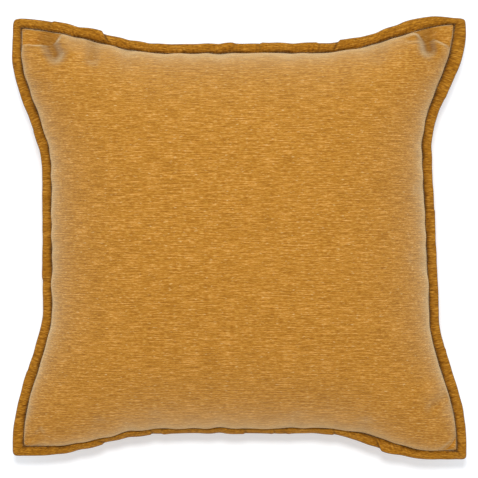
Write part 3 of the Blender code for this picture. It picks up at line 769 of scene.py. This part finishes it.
def nylon_material():
    material, tree, shader = new_material("zip_coil_nylon")
    tone = noise(tree, object_coordinates(tree), 300.0, 3.0)
    colour = ramp(tree, tone, [(0.3, (0.36, 0.17, 0.03)), (0.7, (0.50, 0.26, 0.06))])
    rough = ramp(tree, tone, [(0.3, 0.35), (0.7, 0.5)])
    connect(tree, shader, {"Base Color": colour, "Roughness": rough, "Subsurface Weight": 0.1,
                           "Subsurface Radius": (0.001, 0.0006, 0.0003)})
    return material


def fibre_material():
    """Loose polyester fibre."""
    material, tree, shader = new_material("insert_fibre_loose")
    strands = noise(tree, object_coordinates(tree), 380.0, 6.0, distortion=2.0)
    colour = ramp(tree, strands, [(0.3, 0.70), (0.7, 0.92)])
    connect(tree, shader, {"Base Color": colour, "Normal": bump(tree, strands, 0.8, 0.001),
                           "Roughness": 0.95, "Sheen Weight": 0.4})
    return material


BODY_CLOTH = chenille("chenille_body", (0.330, 0.120, 0.005), (0.400, 0.160, 0.009),
                      (0.520, 0.252, 0.034), (0.66, 0.42, 0.17), 0.56)
# The flange's cloth is the body's chenille with darker colours and little sheen: painted shade for
# the flange lying low beside the bulging body.
FLANGE_CLOTH_SHADED = chenille("chenille_flange_shaded", (0.190, 0.068, 0.003), (0.330, 0.128, 0.005),
                        (0.465, 0.202, 0.013), (0.56, 0.30, 0.05), 0.03)
COVER_THREAD = thread_material("cover_thread_twist", (0.10, 0.042, 0.008), (0.22, 0.105, 0.022))
ZIP_TAPE = woven("zip_tape_weave", (0.25, 0.115, 0.018), (0.38, 0.19, 0.035), 0.0005, 0.8)
SATIN = woven("label_satin_weave", (0.72, 0.71, 0.67), (0.88, 0.87, 0.83), 0.0003, 0.38)
TAG = woven("tag_nonwoven", (0.78, 0.78, 0.75), (0.90, 0.90, 0.88), 0.0008, 0.75)
SHELL = woven("insert_shell_nonwoven", (0.74, 0.74, 0.72), (0.88, 0.88, 0.86), 0.0012, 0.85)
INSERT_THREAD = thread_material("insert_thread_twist", (0.62, 0.62, 0.60), (0.82, 0.82, 0.80))
BRASS = brass_material()
NYLON = nylon_material()
FIBRE = fibre_material()


def place(obj, body="pillow", *, stands_for=()):
    """Hand a finished piece to the frame."""
    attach(obj, body)
    if stands_for:
        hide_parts(*stands_for)


# ---- The cover ----
def seam_dense(count, crowd=0.35):
    """Even positions from -1 to 1, crowded towards both ends."""
    even = np.linspace(-1, 1, count + 1)
    return even + crowd / np.pi * np.sin(np.pi * even)


def zip_rows():
    """A function that gives v at a distance across the zip, from its middle line upwards."""
    v = np.linspace(-1, -0.5, 6001)
    line = cad_surface(np.zeros_like(v), v, 0.0, BACK)
    length = np.concatenate([[0], np.cumsum(np.linalg.norm(np.diff(line, axis=0), axis=1))])

    def at(across):
        return np.interp(ZIP_FROM_SEAM + across, length, v)
    return at


ZIP_V = zip_rows()


def settled_cover():
    """How far each point of the front and of the back moves as the cloth settles."""
    a = sine(np.linspace(-1, 1, SIM_CELLS + 1))
    u, v = np.meshgrid(a, a, indexing="ij")
    front, back = settle(front_surface(u, v), back_surface(u, v), u, v)
    return blur(front, 1), blur(back, 2)


MOVED_FRONT, MOVED_BACK = settled_cover()


def creased(points):
    """Press the creases into the front, and return it with the painted shade in them."""
    flat = points[..., :2]
    shade = np.ones(points.shape[:2])
    for *ends, width, depth in CREASES:
        start, end = np.array(ends[:2]), np.array(ends[2:])
        along = end - start
        share = ((flat - start) @ along) / (along @ along)
        nearest = start + np.clip(share, 0, 1)[..., None] * along
        away = np.linalg.norm(flat - nearest, axis=-1)
        height = points[..., 2] - SEAM_Z
        press = depth * np.exp(-(away / width) ** 2.4) * np.clip(height / 0.015, 0, 1)
        points[..., 2] = SEAM_Z + np.maximum(height - press, np.minimum(height, LOWEST))
        # Painted shade in each crease, stronger in deeper ones.
        strength = 0.34 * np.clip(depth / 0.014, 0, 1)
        shade *= 1 - strength * np.exp(-(away / (1.15 * width)) ** 2)
    return points, shade


def build_front():
    a = seam_dense(250)
    u, v = np.meshgrid(sine(a), sine(a), indexing="ij")
    points = front_surface(u, v)
    uv = arc_uv(front_surface(u, v, pockets=False))
    weights = spline_weights(SIM_CELLS + 1, a)
    points = points + np.einsum("ik,jl,klc->ijc", weights, weights, MOVED_FRONT, optimize=True)
    points, creases = creased(points)
    # Painted shade along the foot of the wall at the seam, times the painted shade in the creases.
    seam_away = np.minimum((1 - np.abs(u)) * seam_half_x(u, v), (1 - np.abs(v)) * seam_half_y(u, v))
    shade = (0.62 + 0.38 * smooth((seam_away + 0.0002) / 0.0014)) * creases
    parts = [(points, grid_faces(*u.shape), uv, 0, shade), flange_part(0, 8, FRONT)]
    front = mesh_object("front_panel", parts, [BODY_CLOTH, FLANGE_CLOTH_SHADED])
    place(front, stands_for=["cover_front_panel"])


def back_points(a, v):
    """The settled back at columns a and rows v."""
    u = sine(a)[:, None] + 0 * v
    points = back_surface(u, v)
    across = spline_weights(SIM_CELLS + 1, a)
    position = np.arcsin(np.clip(v, -1, 1)) * 2 / np.pi
    down = spline_weights(SIM_CELLS + 1, position.ravel()).reshape(*v.shape, SIM_CELLS + 1)
    by_column = np.einsum("ik,klc->ilc", across, MOVED_BACK, optimize=True)
    points += np.einsum("ijl,ilc->ijc", down, by_column, optimize=True)
    points[..., 2] = np.maximum(points[..., 2], GROUND)
    return points


def slit_v(a, side):
    """v of the cloth's edge beside the zip, which closes past the ends of the slit."""
    x = np.abs(cad_surface(sine(a), np.full_like(a, ZIP_V(0.0)), 0.0, BACK)[:, 0])
    open_share = 1 - smooth((x - SLIT_HALF + 0.001) / 0.003)
    closed = 0.00015  # half the gap between the panels where they meet
    return ZIP_V(side * (closed + (SLIT - closed) * open_share)), open_share


def turned_edge(points, towards, open_share):
    """Rows that turn the cloth's edge under, beside the slit."""
    rows = []
    for along, inwards in ((0.00035, 0.0003), (0.00045, 0.0007), (0.0002, 0.0011),
                           (-0.004, 0.00125)):
        rows.append(points + towards * along * open_share[:, None] - ZIP_OUT * inwards)
    return np.stack(rows, axis=1)


def build_back():
    a = seam_dense(230)
    edges = [slit_v(a, side) for side in (-1, 1)]
    edge_as = [np.arcsin(edge)[:, None] * 2 / np.pi for edge, _ in edges]
    # Where the panels meet, round the seam, on its left and right.
    left = 7 - sine(edge_as[0].mean())
    right = 10 - left
    even = np.linspace(0, 1, 200)  # rows of the upper panel, then crowded towards both edges
    dense = even + 0.125 / np.pi * np.sin(np.pi * (2 * even - 1))
    rows = (-1 + (edge_as[0] + 1) * np.linspace(0, 1, 27),
            edge_as[1] + (1 - edge_as[1]) * dense)
    for name, row_a, (_, open_share), start, end in (("lower", rows[0], edges[0], left - 8, right),
                                                     ("upper", rows[1], edges[1], right, left)):
        points = back_points(a, sine(row_a))
        if name == "lower":
            under = turned_edge(points[:, -1], -ZIP_TOWARDS_SEAM, open_share)
            points = np.concatenate([points, under], axis=1)
        else:
            under = turned_edge(points[:, 0], ZIP_TOWARDS_SEAM, open_share)
            points = np.concatenate([under[:, ::-1], points], axis=1)
        parts = [(points, grid_faces(*points.shape[:2]), arc_uv(points), 0),
                 flange_part(start, end, BACK)]
        panel = mesh_object("back_panel_" + name, parts, [BODY_CLOTH, FLANGE_CLOTH_SHADED], flip=True)
        place(panel, stands_for=["cover_back_panel_" + name])


def build_thread(name, path, radius, closed, material, stands_for):
    """A thread or coil along a path, as one tube."""
    thread = mesh_object(name, [(*tube(path, radius, 6, closed), None, 0)], [material])
    place(thread, stands_for=[stands_for])


def build_flange_threads():
    count = int(8 * FLAT_HALF / STITCH_PITCH)
    s = (np.arange(count) + 0.5) * 8 / count
    out = np.full_like(s, 0.0008)
    step = 0.004  # about a stitch either way, for the thread's direction
    for name, stands_for, side in (("topstitch_front", "topstitch_needle_thread", FRONT),
                                   ("topstitch_back", "topstitch_bobbin_thread", BACK)):
        centre = flange_point(s, out, side, 0.00020)
        along = flange_point(s + step, out, side) - flange_point(s - step, out, side)
        along /= np.linalg.norm(along, axis=1, keepdims=True)
        up = np.tile([0.0, 0.0, float(side)], (count, 1))
        parts = stitches(centre, along, up, 0.0029, 0.00032, 0.0005)
        obj = mesh_object(name, parts, [COVER_THREAD])
        place(obj, stands_for=[stands_for])
    s = np.linspace(0, 8, 1600, endpoint=False)
    build_thread("flange_seam_thread", flange_point(s, np.full_like(s, FLANGE), FRONT), 0.00028, True,
                 COVER_THREAD, "flange_edge_seam_thread")


def zip_point(x, across, out):
    """Point in the zip's own frame: across is towards the bottom seam, out is out of the cloth."""
    middle = cad_surface(np.zeros(1), np.array([ZIP_V(0.0)]), TAPE_DEPTH, BACK)[0]
    x, across, out = np.broadcast_arrays(x, across, out)
    return (middle + x[..., None] * np.array([1.0, 0, 0]) + across[..., None] * ZIP_TOWARDS_SEAM
            + out[..., None] * ZIP_OUT)


def zip_u(x, v):
    """u of a point at x, in row v of the back."""
    return x / (CORNER_X - PULL_SIDE * pulled_in(v, PULL_FLAT))


def build_tape(name, sign):
    x = np.linspace(-TAPE_HALF, TAPE_HALF, 220)[:, None]
    v = ZIP_V(-sign * np.linspace(TAPE_NEAR, TAPE_FAR, 8))[None, :]
    u = zip_u(x, v)
    points = cad_surface(u, np.broadcast_to(v, u.shape), TAPE_DEPTH, BACK)
    tape = mesh_object("zip_tape_" + name + "_woven", [(points, grid_faces(*u.shape), None, 0)],
                       [ZIP_TAPE], flip=sign > 0)
    thick = tape.modifiers.new("thickness", "SOLIDIFY")
    thick.thickness, thick.offset = 0.0005, 0.0
    place(tape, stands_for=["zip_tape_" + name])


def build_coil(name, sign):
    turns = int(2 * ZIP_HALF / 0.0016)
    angle = np.linspace(0, 2 * np.pi * turns, turns * 14) + (np.pi if sign > 0 else 0)
    along = np.linspace(-ZIP_HALF + 0.0005, ZIP_HALF - 0.0005, len(angle))
    path = zip_point(along, sign * (0.00125 + 0.00068 * np.cos(angle)), 0.00085 * np.sin(angle))
    build_thread("zip_coil_" + name, path, 0.00027, False, NYLON, "zip_teeth_" + name)


def build_zip_stitches(name, sign):
    """The stitches that hold a tape to its panel."""
    x = np.arange(-SLIT_HALF + 0.003, SLIT_HALF - 0.003, 0.0030)
    v = np.full_like(x, ZIP_V(-sign * STITCH_LINE))
    centre = back_surface(zip_u(x, v), v) + ZIP_OUT * 0.00012
    direction = np.tile([1.0, 0, 0], (len(x), 1))
    up = np.tile(ZIP_OUT, (len(x), 1))
    obj = mesh_object("zip_stitches_" + name,
                      stitches(centre, direction, up, 0.0023, 0.00030, 0.0005), [COVER_THREAD])
    place(obj, stands_for=["zip_stitching_" + name])


def build_tack(name, sign):
    """The zigzag stitches across one end of the slit."""
    zig = np.arange(0, 40)
    x = sign * SLIT_HALF + 0.0013 * np.where(zig % 2, 1, -1)
    path = zip_point(x, np.linspace(-0.0062, 0.0062, len(zig)), 0.00215 + 0.00004 * (zig % 2))
    build_thread("zip_bar_tack_" + name, path, 0.00026, False, COVER_THREAD,
                 "zip_end_tack_" + name)


def finish_brass():
    """The metal pieces keep their CAD shape, with worn edges."""
    for name in ("zip_slider", "zip_pull_tab", "zip_top_stop_upper", "zip_top_stop_lower",
                 "zip_bottom_stop"):
        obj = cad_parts[name]
        obj.data.materials.clear()
        obj.data.materials.append(BRASS)
        bevel = obj.modifiers.new("worn edges", "BEVEL")
        bevel.width, bevel.segments, bevel.limit_method = 0.00016, 2, "ANGLE"
        obj.data.shade_smooth()


def build_zip():
    for name, sign in (("upper", -1), ("lower", 1)):
        build_tape(name, sign)
        build_coil(name, sign)
        build_zip_stitches(name, sign)
    for name, sign in (("left", -1), ("right", 1)):
        build_tack(name, sign)
    finish_brass()


def folded_ribbon(name, outer, inner, material, stands_for):
    """A ribbon folded in two, from its outer and inner layers."""
    loop = np.concatenate([outer, inner[::-1]])
    ribbon = mesh_object(name, [(loop, grid_faces(*loop.shape[:2]), None, 0)], [material])
    place(ribbon, stands_for=[stands_for])


def build_label():
    """Folded satin ribbon sewn into the left seam, lying on the back."""
    u = sine(-np.linspace(0.985, 0.80, 26))
    u, v = np.meshgrid(u, np.linspace(*LABEL_ROWS, 22), indexing="ij")
    base = back_surface(u, v)
    normal = np.cross(np.gradient(base, axis=1), np.gradient(base, axis=0))
    normal /= np.linalg.norm(normal, axis=-1, keepdims=True)
    share = np.linspace(0, 1, 26)[:, None]
    curl = 0.0008 + 0.0035 * share ** 2.5 + 0.0004 * np.sin(v * 60) * share
    outer = base + normal * (curl + 0.0005)[..., None]
    inner = base + normal * (curl - 0.0002)[..., None]
    folded_ribbon("care_label_ribbon", outer, inner, SATIN, "care_label")


# ---- The insert ----
def inside_cover(u, v, depth, side):
    """Layer at this depth inside the visible cover, never past its own seam.

    It lies a further SLACK from the cover sideways, and in front, where the cloth may settle.
    """
    points = front_surface(u, v) if side == FRONT else back_surface(u, v)
    points[..., 0] *= 1 - (depth + SLACK) / 0.199
    points[..., 1] *= 1 - (depth + SLACK) / 0.200
    away = np.abs(points[..., 2] - SEAM_Z)
    kept = np.maximum(away - depth - SLACK * (side == FRONT), 0.02 * away)
    points[..., 2] = SEAM_Z + side * kept
    if side == FRONT:
        points, _ = creased(points)
        points[..., 2] = np.maximum(points[..., 2], SEAM_Z + 0.0002)
    return points


def build_insert_panels(u, v):
    for name, side in (("front", FRONT), ("back", BACK)):
        points = inside_cover(u, v, INSERT_DEPTH + 0.0003, side)
        around = np.where(np.abs(u) > np.abs(v), points[..., 1], points[..., 0])
        gather = waves(around, 41, 6, 0.03, 0.012) * np.maximum(near_seam(u, 0.8), near_seam(v, 0.8))
        points[..., 2] -= side * 0.0006 * (1 + gather) * crown(u) * crown(v)
        panel = mesh_object("insert_" + name, [(points, grid_faces(*u.shape), arc_uv(points), 0)],
                            [SHELL], flip=side == BACK)
        place(panel, stands_for=["insert_" + name + "_panel"])


def build_fill(u, v):
    parts = []
    for side in (FRONT, BACK):
        points = inside_cover(u, v, FILL_DEPTH, side)
        lumps = (waves(points[..., 0], 51 + side, 5, 0.09, 0.03)
                 + waves(points[..., 1], 61 + side, 5, 0.09, 0.03)) / 2
        points[..., 2] -= side * 0.0012 * (1 + lumps) * crown(u) * crown(v)
        faces = grid_faces(*u.shape)
        parts.append((points, faces if side == FRONT else faces[:, ::-1], None, 0))
    fill = mesh_object("insert_loose_fill", parts, [FIBRE])
    place(fill, stands_for=["insert_fill"])


def build_insert_stitches():
    """The insert's seam, and the stitches that close its filling gap on the right."""
    u, v = unit_square(np.linspace(0, 8, 360, endpoint=False))
    ring = inside_cover(u, v, INSERT_DEPTH, BACK)
    along = np.roll(ring, -1, axis=0) - np.roll(ring, 1, axis=0)
    along /= np.linalg.norm(along, axis=1, keepdims=True)
    up = np.tile([0.0, 0.0, 1.0], (len(ring), 1))
    closing = (u > 0.99) & (np.abs(v) < 0.4)
    for name, chosen in (("seam", ~closing), ("closing", closing)):
        parts = stitches(ring[chosen], along[chosen], up[chosen], 0.0040, 0.0003, 0.0006)
        obj = mesh_object("insert_" + name + "_stitches", parts, [INSERT_THREAD])
        place(obj, stands_for=["insert_" + name + "_thread"])


def build_tag():
    """The tag hangs from the insert's right seam, between its back and the cover."""
    u, v = np.meshgrid(sine(np.linspace(0.985, 0.80, 26)), np.linspace(*TAG_ROWS, 22),
                       indexing="ij")
    outer = inside_cover(u, v, INSERT_DEPTH - 0.0014, BACK)
    inner = inside_cover(u, v, INSERT_DEPTH - 0.0010, BACK)
    folded_ribbon("insert_sewn_tag", outer, inner, TAG, "insert_tag")


def build_insert():
    a = sine(np.linspace(-1, 1, 91))
    u, v = np.meshgrid(a, a, indexing="ij")
    build_insert_panels(u, v)
    build_fill(u, v)
    build_insert_stitches()
    build_tag()


build_front()
build_back()
build_flange_threads()
build_zip()
build_label()
build_insert()


# ---- Floor, light and camera ----
def build_floor():
    mesh = bpy.data.meshes.new("floor")
    reach = 4.0
    mesh.from_pydata([(-reach, -reach, 0), (reach, -reach, 0), (reach, reach, 0), (-reach, reach, 0)],
                     [], [(0, 1, 2, 3)])
    material, tree, shader = new_material("floor_white")
    connect(tree, shader, {"Base Color": (0.68, 0.71, 0.75, 1), "Roughness": 0.9,
                           "Specular IOR Level": 0.0, "Emission Color": (1, 1, 1, 1),
                           "Emission Strength": 0.36})
    mesh.materials.append(material)
    floor = bpy.data.objects.new("floor", mesh)
    bpy.context.scene.collection.objects.link(floor)


def area_light(name, place_at, target, size, energy, colour):
    data = bpy.data.lights.new(name, "AREA")
    data.shape = "DISK"
    data.size = size
    data.energy = energy
    data.color = colour
    light = bpy.data.objects.new(name, data)
    light.location = place_at
    light.rotation_mode = "QUATERNION"
    light.rotation_quaternion = (Vector(target) - Vector(place_at)).to_track_quat("-Z", "Y")
    bpy.context.scene.collection.objects.link(light)


build_floor()
MIDDLE = (0.0, 0.0, 0.10)
area_light("key", (-0.02, 0.40, 2.9), MIDDLE, 0.30, 44, (1.0, 0.985, 0.96))
area_light("top", (-0.1, 2.4, 1.3), MIDDLE, 1.0, 14, (0.76, 0.96, 1.22))
world = bpy.data.worlds.new("studio")
world.use_nodes = True
connect(world.node_tree, world.node_tree.nodes["Background"],
        {"Color": (1, 1, 1, 1), "Strength": 0.64})
bpy.context.scene.world = world
bpy.context.scene.view_settings.view_transform = "Standard"

CAMERA_HEIGHT = 2.6  # above the seam
SEEN_WIDTH = 0.5086  # width of the picture at the seam's height
camera_data = bpy.data.cameras.new("camera")
camera_data.sensor_width = 36
camera_data.lens = camera_data.sensor_width * CAMERA_HEIGHT / SEEN_WIDTH
camera_data.clip_end = 20
camera = bpy.data.objects.new("camera", camera_data)
camera.location = (0.0, -0.0015, SEAM_Z + CAMERA_HEIGHT)
bpy.context.scene.collection.objects.link(camera)
bpy.context.scene.camera = camera
